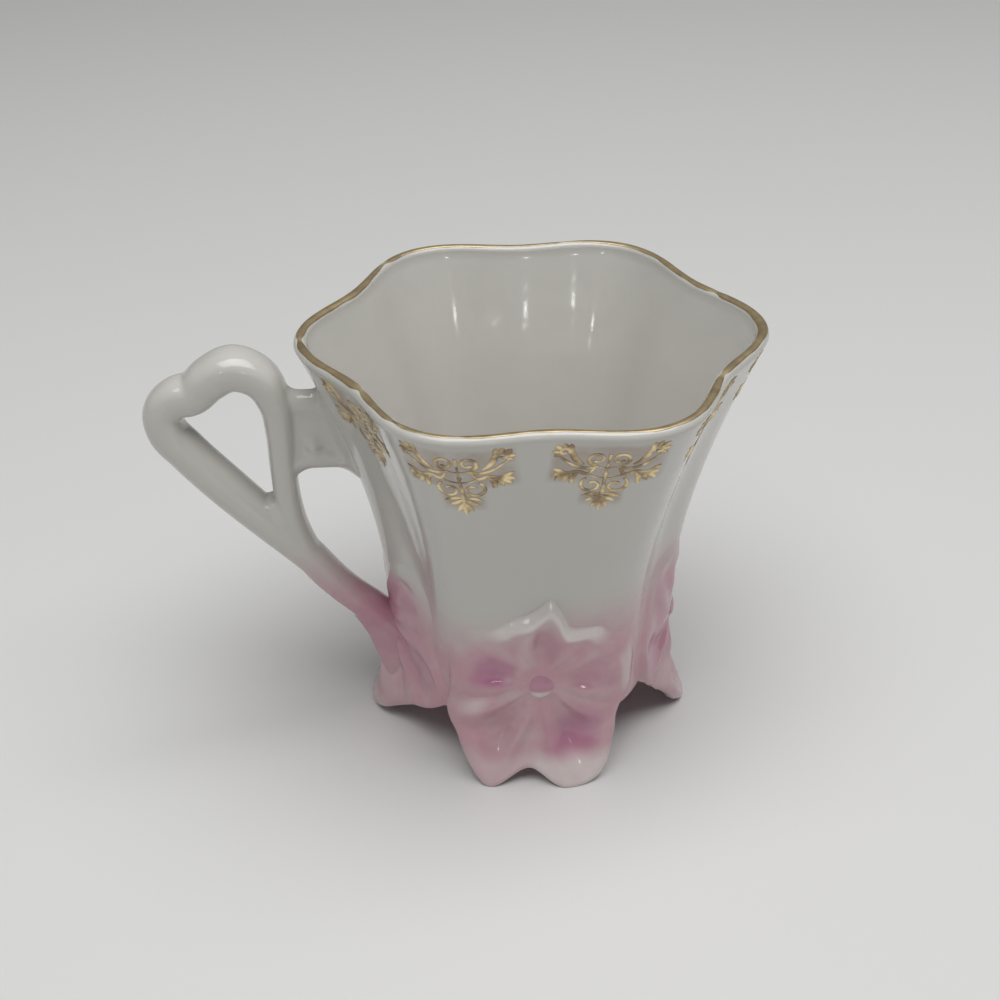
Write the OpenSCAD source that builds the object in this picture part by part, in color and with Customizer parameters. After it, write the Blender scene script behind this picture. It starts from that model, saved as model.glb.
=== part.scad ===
// Lobed porcelain cup that stands on the petals of four moulded blossoms,
// with a pierced heart handle, a gilt lip and gold sprays round the bowl under the lip.
// The cup stands on z = 0, its axis is Z and the handle points along -X.

/* [Bowl] */
// Height of the lip above the table
rim_z = 68.7; // [62:0.1:76]
// Mean outside radius of the bowl at the lip
rim_r = 33.6; // [30:0.1:38]
// Height of the waist above the table
waist_z = 24; // [22:0.5:27]
// Mean outside radius of the bowl at the waist
waist_r = 21.8; // [20.5:0.1:23]
// Height of the underside above the table
base_z = 10; // [9:0.5:11]
// Mean outside radius of the bowl at the underside
base_r = 20.8; // [20:0.1:21.6]
// Curve of the flare, where 1 is a cone and more is a bell
flare = 1.65; // [1.3:0.05:1.9]
// Height of the lobes at the lip, from the mean radius to the crown
lobe_rise = 2; // [1:0.1:2.4]
// Height of the lobes at the waist, from the mean radius to the crown
waist_lobe_rise = 1.4; // [0.6:0.1:1.6]
// Thickness of the wall at the lip
lip_wall = 2; // [1.6:0.1:2.6]
// Thickness of the wall at the underside
base_wall = 3; // [2.4:0.1:3.6]
// Thickness of the floor
floor_wall = 3.5; // [3:0.1:4.5]
// Radius of the corner between the wall and the floor, inside
floor_corner = 7; // [4:0.5:9]
// Rounding of the edge of the underside
base_edge = 1.2; // [0.6:0.1:1.6]
// Depth of the hollow in the underside
base_hollow = 1; // [0.4:0.1:1.4]
// Width of the ring round that hollow
base_ring = 4.5; // [3:0.5:6]

/* [Blossoms] */
// Height of the middle of each blossom above the table
bloom_z = 18; // [17:0.1:19]
// Turn of each blossom about its own middle, in degrees
bloom_lean = -6; // [-10:1:10]
// Length of a petal that points straight up
petal_up = 15.3; // [13:0.1:16.5]
// Length of a petal that points sideways and a little down
petal_side = 14.6; // [12.5:0.1:15]
// Depth of the notch between two petals
petal_notch = 2.6; // [1.5:0.1:4]
// Extra length of the petal that hangs lowest on a side blossom
petal_skirt = 2.4; // [0:0.1:3]
// Height of a petal's rim above the wall
petal_rim = 1.6; // [1.2:0.1:2.4]
// Height of a petal above the wall beside the middle of the blossom
petal_dish = 0.5; // [0.4:0.1:1]
// Radius of the round middle that the petals surround
eye_r = 2.9; // [2.6:0.1:3.2]
// Radius of the boss in the middle of a blossom
boss_r = 2.4; // [2:0.1:2.5]
// Height of that boss
boss_h = 1.5; // [1:0.1:2]

/* [Feet] */
// Radius of the back of the toes, at the table
toe_r = 22.7; // [22:0.1:23.5]
// Thickness of a paired foot petal at its widest bulge
foot_rim = 2.9; // [2.6:0.1:3.6]
// Half the distance between the toes of a pair, along the wall
toe_spread = 5.6; // [5:0.1:6.5]
// Distance that a toe's curve runs past the table before it is cut flat
toe_cut = 0.4; // [0.2:0.1:0.8]
// Half the width of the flat that a toe stands on
toe_half = 1.5; // [1:0.1:2]
// Height of the notch between the toes of a pair
toe_notch = 2.7; // [1:0.1:4]
// Length of a paired foot petal at its outer shoulder
pair_shoulder = 16.3; // [15.5:0.1:18.5]
// Length of a single foot petal at its shoulders
lone_shoulder = 16.4; // [15:0.1:17]
// Thickness of the single foot petal on the right at its widest bulge
lone_rim = 3.4; // [2.8:0.1:4]
// Thickness of the single foot petal under the handle at its widest bulge
root_rim = 4.4; // [3.4:0.1:4.8]

/* [Handle] */
// Reach of the handle from the axis to its tip
handle_reach = 59; // [56:0.1:62]
// Height of the handle's arch above the table
handle_top = 66.9; // [66:0.1:67.6]
// Height of the lower end of the handle on the bowl
handle_root_z = 16.6; // [16:0.1:17.6]
// Thickness of the arch and the outer side of the heart, seen from the side
strand = 6; // [5:0.1:6.4]
// Thickness of the inner side of the heart, seen from the side
inner_strand = 4; // [3.4:0.1:4.4]
// Thickness of the bar from the heart to the bowl, seen from the side
bar = 4.8; // [4.2:0.1:5.4]
// Width of the strands from front to back
strand_w = 7; // [6:0.1:7.4]
// Height of the top of the lug that joins the handle to the bowl
lug_top = 60; // [58:0.1:60.4]
// Height of the bottom of that lug
lug_bottom = 45; // [44:0.1:47]
// Width of the lug from front to back
lug_w = 5; // [4:0.1:5.4]
// Width of the sunk web between the two rolls of the lug
web_w = 2.6; // [2:0.1:3.2]
// Rise of the lug's lower edge, and fall of its upper edge, at its waist
lug_waist = 1.2; // [0:0.1:1.6]
// Distance from the axis to the middle of the heart's inner side
heart_x = 38.5; // [37.5:0.1:40]
// Height from the fork, where the sides of the heart meet, up to the bottom of the lug
fork_drop = 12.8; // [12:0.1:14]
// Sag of the bar between the fork and the bowl
bar_sag = 1.2; // [0:0.1:2]

/* [Gold] */
// Thickness of the fired gold
gold = 0.12; // [0.08:0.01:0.2]
// Half the width of a gold spray across its arms
spray_half = 9.4; // [7:0.1:10]
// Half the width of the drop under the arms
drop_half = 3.2; // [2:0.1:4]
// Height of a gold spray with its drop
spray_h = 12; // [10:0.1:13]
// Distance from the lip down to a gold spray
spray_drop = 2.8; // [2.6:0.1:4]
// Turn from the handle to the nearest gold spray
spray_start = 30; // [28:1:34]

/* [Hidden] */

// Gap between a piece and the wall that it is fixed to
seat_gap = 0.15;
// Half of the crease between two petals, as an angle at the middle of the blossom
crease = 0.7;
// Number of lobes round the bowl, and of gold sprays round the lip
LOBES = 6;
SPRAYS = 9;
// Share of a spray's height that its arms take
arm_share = 0.6;
// Number of petals in a blossom, and the angle from one to the next
PETALS = 5;
pitch = 360 / PETALS;
// Steps round the bowl, up its outside and down its inside
ROUND = 72;
OUT_STEPS = 14;
IN_STEPS = 8;
CORNER_STEPS = 3;
// Steps across a petal and along it
PETAL_ACROSS = 7;
PETAL_ALONG = 6;
// Steps between two stations of a foot petal's outline
FOOT_STEPS = 4;
// Sides of a strand of the handle, and steps from one knot to the next
STRAND_SIDES = 12;
STRAND_STEPS = 3;
// Turns of the round lip at which its facets meet
LIP_TURNS = [60, 120];
// Directions of the blossoms round the cup
FRONT = 270;
RIGHT = 0;
BACK = 90;
LEFT = 180;

porcelain = "#f3f0e8";
blush = "#e3b3b8";
rose = "#c98fa0";
gilt = "#b3832c";

floor_z = base_z + floor_wall;
lip_c = rim_z - lip_wall / 2;

function ease(t) = t * t * (3 - 2 * t);
function mix(a, b, t) = a + (b - a) * t;
function clamp01(t) = max(0, min(1, t));

// Mean outside radius at height z: a bell above the waist, a tuck below it,
// and below the underside the line that the backs of the feet follow
function mean_r(z) =
  z >= waist_z ? mix(waist_r, rim_r, pow((z - waist_z) / (lip_c - waist_z), flare)) :
  z >= base_z ? mix(waist_r, base_r, pow((waist_z - z) / (waist_z - base_z), 2)) :
  mix(base_r, toe_r, pow((base_z - z) / base_z, 1.5));

// Height of the lobes at height z, which die away towards the table
function lobe_at(z) =
  z >= waist_z ? mix(waist_lobe_rise, lobe_rise, (z - waist_z) / (lip_c - waist_z)) :
  waist_lobe_rise * max(0, z) / waist_z;

// Outside radius of the bowl in direction a at height z
function skin_r(a, z) = mean_r(z) + lobe_at(z) * cos(LOBES * a);

function wall_at(z) = mix(base_wall, lip_wall, clamp01((z - base_z) / (lip_c - base_z)));

// Point at radius r in direction a at height z
function polar(r, a, z) = [r * cos(a), r * sin(a), z];

// Closed loft through rings of equal length, drawn to a point at both ends
module loft(first, rings, last) {
  n = len(rings[0]);
  m = len(rings);
  points = concat([first], [for (ring = rings) each ring], [last]);
  faces = concat(
    [for (i = [0:n - 1]) [0, 1 + i, 1 + (i + 1) % n]],
    [for (j = [0:m - 2]) for (i = [0:n - 1])
      [1 + j * n + i, 1 + (j + 1) * n + i, 1 + j * n + (i + 1) % n]],
    [for (j = [0:m - 2]) for (i = [0:n - 1])
      [1 + j * n + (i + 1) % n, 1 + (j + 1) * n + i, 1 + (j + 1) * n + (i + 1) % n]],
    [for (i = [0:n - 1]) [1 + m * n, 1 + (m - 1) * n + (i + 1) % n, 1 + (m - 1) * n + i]]
  );
  polyhedron(points, faces, convexity = 8);
}

// Closed plate between a front and a back grid of points of the same size
module plate(front, back) {
  m = len(front);
  n = len(front[0]);
  k = m * n;
  points = concat([for (row = front) each row], [for (row = back) each row]);
  edge = concat(
    [for (i = [0:n - 1]) i],
    [for (j = [1:m - 1]) j * n + n - 1],
    [for (i = [n - 2:-1:0]) (m - 1) * n + i],
    [for (j = [m - 2:-1:1]) j * n]
  );
  e = len(edge);
  faces = concat(
    [for (j = [0:m - 2]) for (i = [0:n - 2]) [j * n + i, (j + 1) * n + i, j * n + i + 1]],
    [for (j = [0:m - 2]) for (i = [0:n - 2]) [j * n + i + 1, (j + 1) * n + i, (j + 1) * n + i + 1]],
    [for (j = [0:m - 2]) for (i = [0:n - 2]) [k + j * n + i, k + j * n + i + 1, k + (j + 1) * n + i]],
    [for (j = [0:m - 2]) for (i = [0:n - 2])
      [k + j * n + i + 1, k + (j + 1) * n + i + 1, k + (j + 1) * n + i]],
    [for (q = [0:e - 1]) [edge[q], edge[(q + 1) % e], k + edge[q]]],
    [for (q = [0:e - 1]) [edge[(q + 1) % e], k + edge[(q + 1) % e], k + edge[q]]]
  );
  polyhedron(points, faces, convexity = 6);
}

// Ring of the bowl's outside at height z, moved out by grow
function skin_ring(z, grow = 0) =
  [for (i = [0:ROUND - 1]) let(a = i * 360 / ROUND) polar(skin_r(a, z) + grow, a, z)];

// Ring that keeps a given distance inside the bowl's outside at height z, drawn at height h
function inner_ring(z, depth, h) =
  [for (i = [0:ROUND - 1]) let(a = i * 360 / ROUND) polar(skin_r(a, z) - depth, a, h)];

// Bowl: underside with its ring, lobed outside, round lip, lobed inside and flat floor
module bowl() {
  edge_z = base_z + base_edge;
  corner_z = floor_z + floor_corner;
  underside = [
    inner_ring(edge_z, base_edge + base_ring + base_hollow, base_z + base_hollow),
    inner_ring(edge_z, base_edge + base_ring, base_z),
    inner_ring(edge_z, base_edge, base_z),
    inner_ring(edge_z, base_edge * 0.3, base_z + base_edge * 0.3)
  ];
  outside = [for (k = [0:OUT_STEPS]) skin_ring(mix(edge_z, lip_c, k / OUT_STEPS))];
  lip = [for (b = LIP_TURNS)
    inner_ring(lip_c, lip_wall / 2 * (1 - cos(b)), lip_c + lip_wall / 2 * sin(b))];
  inside = [for (k = [0:IN_STEPS]) let(z = mix(lip_c, corner_z, k / IN_STEPS))
    inner_ring(z, wall_at(z), z)];
  corner = [for (k = [1:CORNER_STEPS]) let(b = 90 * k / CORNER_STEPS)
    inner_ring(corner_z, wall_at(corner_z) + floor_corner * (1 - cos(b)),
      corner_z - floor_corner * sin(b))];
  color(porcelain)
    loft([0, 0, base_z + base_hollow], concat(underside, outside, lip, inside, corner), [0, 0, floor_z]);
}

// Length of a petal that points in direction f, where 90 is straight up
function petal_length(f) =
  mix(petal_side, petal_up, clamp01((sin(f) + sin(pitch / 4)) / (1 + sin(pitch / 4))));

// Outline of a blossom's upper petals: stations of [direction, length] at tips and notches,
// where the first petal and the notch below it are longer by the given skirt
function upper_outline(first, count, skirt) =
  [for (k = [0:2 * count])
    let(f = first + (k - 1) * pitch / 2, tip = petal_length(f) + (k < 2 ? skirt : 0))
    [f, k % 2 == 1 ? tip : tip - petal_notch]];

// Length of an outline in direction f between two stations: round = 1 eases it, 0 keeps it straight
function outline_at(line, f, round) =
  let(
    k = [for (i = [0:len(line) - 2]) if (f >= line[i][0]) i],
    i = len(k) == 0 ? 0 : max(k),
    t = clamp01((f - line[i][0]) / (line[i + 1][0] - line[i][0]))
  )
  mix(line[i][1], line[i + 1][1], mix(t, ease(t), round));

// Relief of a petal: q runs from the middle to the rim, c from its midline to its crease
function relief(q, c, rim) =
  mix(petal_dish, rim, pow(q, 1.6)) * (1 - 0.3 * pow(c, 4)) * (q > 0.92 ? mix(1, 0.55, (q - 0.92) / 0.08) : 1);

// Point of a blossom at distance d from its middle in direction f, at height h off the wall
function bloom_point(mid, d, f, h) =
  let(
    s = d * cos(f + bloom_lean),
    z = max(0, bloom_z + d * sin(f + bloom_lean)),
    a = mid + s / waist_r * 180 / PI
  )
  polar(skin_r(a, z) + seat_gap + h, a, z);

// How far along a petal each row of its grid lies: close rows near the rim
function along(j) = j >= PETAL_ALONG ? 1 : 0.92 * j / (PETAL_ALONG - 1);

// Sector of a blossom inside an outline, with a column of points in each of a list of directions,
// cupped round the midline of each petal: the first starts at f0 and spans the angle by
module petals(mid, line, directions, rim, hole, f0, by, round) {
  last = len(directions) - 1;
  grid = [for (j = [0:PETAL_ALONG]) [for (i = [last:-1:0])
    let(f = directions[i], q = along(j), w = (f - f0) / by)
    [mix(hole, outline_at(line, f, round), q), f, q, abs(2 * (w - floor(w)) - 1)]]];
  plate(
    [for (row = grid) [for (g = row) bloom_point(mid, g[0], g[1], relief(g[2], g[3], rim))]],
    [for (row = grid) [for (g = row) bloom_point(mid, g[0], g[1], 0)]]
  );
}

// Upper petals of a blossom whose first petal points in direction first
module blossom(mid, first, count, skirt = 0, hole = eye_r) {
  f0 = first - pitch / 2;
  f1 = f0 + count * pitch;
  steps = count * PETAL_ACROSS;
  color(blush)
    petals(mid, upper_outline(first, count, skirt),
      [for (i = [0:steps]) mix(f0 + crease, f1 - crease, i / steps)],
      petal_rim, hole, f0, pitch, 1);
}

// Directions of a foot petal, where 270 is straight down: its toe, half of the toe's flat,
// and the turns from its edge to its shoulder
pair_toe = atan2(bloom_z, toe_spread);
toe_turn = atan2(toe_half, bloom_z);
side_f = pitch / 4;
pair_turn = 16;
lone_turn = 18;
// Lengths of a foot petal at its hip, beside the next petal
pair_hip = petal_length(-side_f) - petal_notch / 2;
lone_hip = petal_length(-side_f) + petal_notch / 4;
// Length of a paired foot petal at the notch between the toes
pair_notch = (bloom_z - toe_notch) / cos(bloom_lean);
// How far a foot petal's outline is rounded off, from 0 for straight sides to 1
toe_round = 0.35;

// Length in direction f at which a foot petal reaches past the table
function floor_length(f) = (bloom_z + toe_cut) / -sin(f + bloom_lean);

// Directions of the columns of a foot petal, with as many steps between each two stations
function foot_columns(line) = concat(
  [for (k = [0:len(line) - 2]) for (j = [0:FOOT_STEPS - 1]) mix(line[k][0], line[k + 1][0], j / FOOT_STEPS)],
  [line[len(line) - 1][0]]
);

// Foot petal inside the given stations of [direction, length]
module foot_petal(mid, line, rim, hole) {
  f0 = line[0][0];
  by = line[len(line) - 1][0] - f0;
  color(blush)
    petals(mid, line, foot_columns(line), rim, hole, f0, by, toe_round);
}

// One of the two foot petals of a blossom, on its left for side = -1 or its right for side = 1
module paired_foot(mid, side) {
  function at(f) = 270 + side * (f - 270);
  hip = at(360 - side_f - crease);
  shoulder = at(360 - side_f - pair_turn);
  outer = at(360 - pair_toe + toe_turn);
  inner = at(360 - pair_toe - toe_turn);
  notch = at(270 + crease);
  line = [
    [notch, pair_notch],
    [inner, floor_length(inner)],
    [outer, floor_length(outer)],
    [shoulder, pair_shoulder],
    [hip, pair_hip]
  ];
  foot_petal(mid, side > 0 ? line : [for (k = [4:-1:0]) line[k]], foot_rim, eye_r);
}

// The single foot petal of a blossom on the side of the cup
module lone_foot(mid, rim, hole = eye_r) {
  half = pitch / 2 - crease;
  foot_petal(mid, [
    [270 - half, lone_hip],
    [270 - half + lone_turn, lone_shoulder],
    [270 - toe_turn, floor_length(270 - toe_turn)],
    [270 + toe_turn, floor_length(270 + toe_turn)],
    [270 + half - lone_turn, lone_shoulder],
    [270 + half, lone_hip]
  ], rim, hole);
}

// Boss in the middle of a blossom: a low round button, cut from a ball
module boss(mid) {
  ball_r = (boss_r * boss_r + boss_h * boss_h) / (2 * boss_h);
  seat = seat_gap + 0.1;
  color(rose)
    translate(polar(skin_r(mid, bloom_z) + seat, mid, bloom_z))
      rotate([0, 90, mid])
        rotate_extrude($fn = 32)
          intersection() {
            translate([0, boss_h - ball_r])
              circle(ball_r, $fn = 48);
            square([boss_r, boss_h]);
          }
}

// Places of the handle, measured along -X from the axis, with their heights
tip_x = handle_reach - strand / 2;
arch = strand + 0.4;
arch_z = handle_top - arch / 2;
heart_w = tip_x - heart_x;
fork = [heart_x - 0.6, lug_bottom - fork_drop];
root = [skin_r(LEFT, handle_root_z), handle_root_z];

// Place on the bar between the fork and the root, which sags a little
function bar_at(t) = mix(fork, root, t) - [0, bar_sag * sin(180 * t)];

// Knots of the handle's strand: up the inner side of the heart, over the arch,
// round the tip and down the bar to the bowl: place, height and thickness
KNOTS = [
  [heart_x - 1.5, lug_bottom - 9, inner_strand + 0.4],
  [heart_x, lug_bottom - 3, inner_strand],
  [heart_x, mix(lug_bottom, lug_top, 0.25), inner_strand],
  [heart_x, mix(lug_bottom, lug_top, 0.65), inner_strand],
  [heart_x + 0.04 * heart_w, lug_top - 0.2, inner_strand + 0.4],
  [heart_x + 0.19 * heart_w, arch_z - 1.2, strand - 0.6],
  [heart_x + 0.37 * heart_w, arch_z, arch],
  [heart_x + 0.58 * heart_w, arch_z - 1.7, arch],
  [heart_x + 0.73 * heart_w, arch_z - 3.8, arch],
  [heart_x + 0.88 * heart_w, arch_z - 5.2, strand],
  [tip_x - 0.1, arch_z - 8, strand],
  [tip_x - 0.3, arch_z - 11, strand],
  [tip_x - 3, arch_z - 14.4, strand],
  [mix(tip_x - 3, fork[0], 0.45), mix(arch_z - 14.4, fork[1], 0.45), strand],
  [fork[0], fork[1], strand - 0.2],
  [bar_at(0.3)[0], bar_at(0.3)[1], bar],
  [bar_at(0.62)[0], bar_at(0.62)[1], bar],
  [root[0] + 2, root[1] + 1.6, bar + 0.4],
  [root[0], root[1], bar + 0.8]
];

// Smooth curve through the knots: point at t from knot k to the next
function curve_at(knots, k, t) =
  let(
    n = len(knots) - 1,
    a = knots[max(0, k - 1)],
    b = knots[k],
    c = knots[min(n, k + 1)],
    d = knots[min(n, k + 2)]
  )
  0.5 * (2 * b + (c - a) * t + (2 * a - 5 * b + 4 * c - d) * t * t + (3 * b - a - 3 * c + d) * t * t * t);

// Point of the handle's plane at place x and height z, y off that plane
function handle_point(x, y, z) = [-x, y, z];

// Place where a line along -X at y and height z leaves the bowl, a seat gap off its wall
function on_wall(y, z) =
  let(
    r1 = skin_r(LEFT + asin(y / root[0]), z) + seat_gap,
    r2 = skin_r(LEFT + asin(y / r1), z) + seat_gap
  )
  sqrt(r2 * r2 - y * y);

// Oval ring of the strand round a knot, square to the way that it runs
function strand_ring(knot, run) =
  let(u = run / norm(run))
  [for (i = [0:STRAND_SIDES - 1])
    let(b = 360 * i / STRAND_SIDES, off = knot[2] / 2 * cos(b))
    [knot[0] - u[1] * off, strand_w / 2 * sin(b), knot[1] + u[0] * off]];

// Handle: one strand that makes the heart and the bar below it. Its first end is cut along
// the top of the bar, and its last end is cut along the wall of the bowl
module handle() {
  beads = concat(
    [for (k = [0:len(KNOTS) - 2]) for (j = [0:STRAND_STEPS - 1]) curve_at(KNOTS, k, j / STRAND_STEPS)],
    [KNOTS[len(KNOTS) - 1]]
  );
  n = len(beads);
  function run(i) = let(d = beads[min(n - 1, i + 1)] - beads[max(0, i - 1)]) [d[0], d[1]];
  bar_run = KNOTS[14] - KNOTS[13];
  bar_up = [bar_run[1], -bar_run[0]] / norm([bar_run[0], bar_run[1]]);
  bar_clear = KNOTS[14][2] / 2 + seat_gap;
  function on_bar(g) = g[2] + ((g[0] - fork[0]) * bar_up[0] + (g[2] - fork[1]) * bar_up[1] - bar_clear)
    / -bar_up[1];
  rings = [for (i = [0:n - 1]) strand_ring(beads[i], run(i))];
  foot = [for (g = rings[0]) [g[0], g[1], on_bar(g)]];
  end = [for (g = rings[n - 1]) [on_wall(g[1], g[2]), g[1], g[2]]];
  body = concat([foot], [for (i = [1:n - 2]) rings[i]], [end]);
  solid = [for (ring = body) [for (g = ring) handle_point(g[0], g[1], g[2])]];
  color(porcelain)
    loft(handle_point(beads[0][0], 0, on_bar([beads[0][0], 0, beads[0][1]])), solid,
      handle_point(on_wall(0, root[1]), 0, root[1]));
}

// Lug between the inner strand and the bowl: two rolls with a sunk web, waisted in the middle
module handle_lug() {
  rows = 6;
  cols = 8;
  function half_w(v) = pow(sin(180 * v), 0.6) * mix(web_w, lug_w, pow(sin(360 * v), 2)) / 2;
  function height(v, t) = mix(lug_bottom, lug_top, v) + (0.5 - v) * 2 * lug_waist * sin(180 * t);
  function on_strand(y) = heart_x - inner_strand / 2 * sqrt(1 - pow(2 * y / strand_w, 2)) - seat_gap;
  function at(v, t, y) = let(z = height(v, t)) handle_point(mix(on_strand(y), on_wall(y, z), t), y, z);
  rings = [for (j = [0:rows]) let(t = j / rows) concat(
    [for (i = [0:cols]) at(i / cols, t, half_w(i / cols))],
    [for (i = [cols - 1:-1:1]) at(i / cols, t, -half_w(i / cols))]
  )];
  color(porcelain)
    loft(at(0.5, 0, 0), rings, at(0.5, 1, 0));
}

// Gold on the lip: a thin skin along its crown
module lip_gilding() {
  turns = LIP_TURNS;
  half = lip_wall / 2;
  function gold_ring(b, r) = inner_ring(lip_c, half - r * cos(b), lip_c + r * sin(b));
  rings = concat(
    [for (b = turns) gold_ring(b, half + seat_gap + gold)],
    [for (k = [len(turns) - 1:-1:0]) gold_ring(turns[k], half + seat_gap)]
  );
  n = ROUND;
  m = len(rings);
  color(gilt)
    polyhedron(
      [for (ring = rings) each ring],
      concat(
        [for (j = [0:m - 1]) for (i = [0:n - 1])
          [j * n + i, ((j + 1) % m) * n + i, j * n + (i + 1) % n]],
        [for (j = [0:m - 1]) for (i = [0:n - 1])
          [j * n + (i + 1) % n, ((j + 1) % m) * n + i, ((j + 1) % m) * n + (i + 1) % n]]
      ),
      convexity = 8
    );
}

// Gold spray under the lip: two arms and a drop that hangs from their middle
module spray(k) {
  a = LEFT + spray_start + k * (360 - 2 * spray_start) / (SPRAYS - 1);
  cols = 6;
  function half_at(v) = v < arm_share ? mix(spray_half, spray_half - 0.8, v / arm_share) :
    mix(drop_half, 0.8, pow((v - arm_share) / (1 - arm_share), 1.5));
  levels = [0, arm_share / 2, arm_share - 0.02, arm_share + 0.02, (1 + arm_share) / 2, 0.88, 1];
  function at(u, v, h) =
    let(z = rim_z - spray_drop - spray_h * v, b = a + u * half_at(v) / rim_r * 180 / PI)
    polar(skin_r(b, z) + seat_gap + h, b, z);
  color(gilt)
    plate(
      [for (v = levels) [for (i = [0:cols]) at(1 - 2 * i / cols, v, gold)]],
      [for (v = levels) [for (i = [0:cols]) at(1 - 2 * i / cols, v, 0)]]
    );
}

// Room that the end of the handle takes in the middle of the left blossom
root_hole = strand_w / 2 + 1.6;

bowl();
handle();
handle_lug();
blossom(FRONT, pitch / 4, 3);  // blossom_front
blossom(RIGHT, -pitch / 4, 4, petal_skirt);  // blossom_right
blossom(BACK, pitch / 4, 3);  // blossom_back
blossom(LEFT, -pitch / 4, 4, petal_skirt, root_hole);  // blossom_left
boss(FRONT);  // boss_front
boss(RIGHT);  // boss_right
boss(BACK);  // boss_back
paired_foot(FRONT, -1);  // foot_front_left
paired_foot(FRONT, 1);  // foot_front_right
lone_foot(RIGHT, lone_rim);  // foot_right
paired_foot(BACK, -1);  // foot_back_left
paired_foot(BACK, 1);  // foot_back_right
lone_foot(LEFT, root_rim, root_hole);  // foot_left
lip_gilding();
spray(0);  // spray_1
spray(1);  // spray_2
spray(2);  // spray_3
spray(3);  // spray_4
spray(4);  // spray_5
spray(5);  // spray_6
spray(6);  // spray_7
spray(7);  // spray_8
spray(8);  // spray_9
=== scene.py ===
import math

import bpy
import numpy as np
from mathutils import Matrix, Vector


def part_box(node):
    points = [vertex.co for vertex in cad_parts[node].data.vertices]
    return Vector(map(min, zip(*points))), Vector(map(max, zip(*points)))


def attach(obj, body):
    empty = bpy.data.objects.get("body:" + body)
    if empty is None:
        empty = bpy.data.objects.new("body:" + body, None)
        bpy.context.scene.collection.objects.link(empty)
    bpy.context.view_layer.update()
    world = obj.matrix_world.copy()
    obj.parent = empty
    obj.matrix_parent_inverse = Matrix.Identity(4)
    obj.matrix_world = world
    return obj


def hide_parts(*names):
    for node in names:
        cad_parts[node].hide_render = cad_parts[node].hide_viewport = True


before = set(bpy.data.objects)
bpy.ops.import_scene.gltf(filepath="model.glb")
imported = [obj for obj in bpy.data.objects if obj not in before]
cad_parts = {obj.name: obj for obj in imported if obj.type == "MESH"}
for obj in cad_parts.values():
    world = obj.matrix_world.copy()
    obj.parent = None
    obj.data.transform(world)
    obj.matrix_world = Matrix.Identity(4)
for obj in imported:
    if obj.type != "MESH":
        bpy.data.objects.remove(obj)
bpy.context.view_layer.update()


# Bowl
# Slip-cast porcelain with six lobes, which flares from a waist to a rounded lip. It is dried, then
# washed with pink from an airbrush round its foot, glazed and fired. Sizes are in millimetres.
mm = 0.001
LOBES = 6
rim_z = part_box("bowl")[1].z / mm
base_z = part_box("bowl")[0].z / mm
rim_r = 33.6
waist_z = 24.0
waist_r = 21.8
base_r = 20.8
toe_r = 22.7
flare = 1.65
lobe_rise = 2.0
waist_lobe_rise = 1.4
lip_wall = 2.0
base_wall = 3.0
floor_wall = 3.5
floor_corner = 7.0
base_edge = 1.2
base_hollow = 1.0
base_ring = 4.5
lip_z = rim_z - lip_wall / 2
AROUND = 360


def ease(start, end, x):
    """Smooth step: 0 at start, 1 at end and level at both, with 3t^2 - 2t^3 between them."""
    t = np.clip((x - start) / (end - start), 0, 1)
    return t * t * (3 - 2 * t)


def mean_radius(z):
    """Mean outside radius at height z: a power curve above the waist, a parabola that tucks in below
    it, and under the bowl a line that curves out again to the toes."""
    bell = np.clip((z - waist_z) / (lip_z - waist_z), 0, 1) ** flare
    tuck = np.clip((waist_z - z) / (waist_z - base_z), 0, 1) ** 2
    spread = np.clip((base_z - z) / base_z, 0, 1) ** 1.5
    return waist_r + (rim_r - waist_r) * bell + (base_r - waist_r) * tuck + (toe_r - base_r) * spread


def skin_radius(a, z):
    """Outside radius in direction a at height z: the mean radius plus a cosine with six crowns."""
    up = np.clip((z - waist_z) / (lip_z - waist_z), 0, 1)
    down = np.clip(z / waist_z, 0, 1)
    rise = (waist_lobe_rise + (lobe_rise - waist_lobe_rise) * up) * down
    return mean_radius(z) + rise * np.cos(LOBES * a)


def polar(r, a, z):
    """Points at radius r in direction a at height z."""
    r, a, z = np.broadcast_arrays(r, a, z)
    return np.stack([r * np.cos(a), r * np.sin(a), z], axis=-1)


def grid_quads(rows, cols, loop_rows=False, loop_cols=False):
    """Four-cornered faces of a grid of points, row by row, joined end to end where it loops."""
    j = np.arange(rows if loop_rows else rows - 1)[:, None]
    i = np.arange(cols if loop_cols else cols - 1)[None, :]
    j1 = (j + 1) % rows
    i1 = (i + 1) % cols
    corners = [j * cols + i, j * cols + i1, j1 * cols + i1, j1 * cols + i]
    return np.stack([np.broadcast_to(c, np.broadcast(j, i).shape) for c in corners], -1).reshape(-1, 4)


def fan(ring, pole):
    """Triangles from each side of a closed ring of point numbers to one pole."""
    return np.stack([ring, np.roll(ring, -1), np.full_like(ring, pole)], axis=-1)


def add_piece(name, points, faces, tints=None):
    """Mesh object from points in millimetres, lists of faces and named values at each point."""
    mesh = bpy.data.meshes.new(name)
    mesh.from_pydata((points * mm).tolist(), [], sum((f.tolist() for f in faces), []))
    for tint, values in (tints or {}).items():
        layer = mesh.attributes.new(tint, "FLOAT", "POINT")
        layer.data.foreach_set("value", np.ascontiguousarray(values, dtype=np.float32).ravel())
    mesh.polygons.foreach_set("use_smooth", np.ones(len(mesh.polygons), dtype=bool))
    mesh.update()
    piece = bpy.data.objects.new(name, mesh)
    bpy.context.scene.collection.objects.link(piece)
    return piece


wash_top = 29.2
wash_above = 5.5
wash_below = 9.5


def wash(a, z):
    """Strength of the pink wash: full round the foot, and gone a little above a top edge that waves
    round the bowl and is highest on its right."""
    top = wash_top + 4.2 * np.cos(a + 0.26) + np.cos(2 * a) + 0.8 * np.sin(5 * a + 0.6)
    return ease(top + wash_above, top - wash_below, z)


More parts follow.
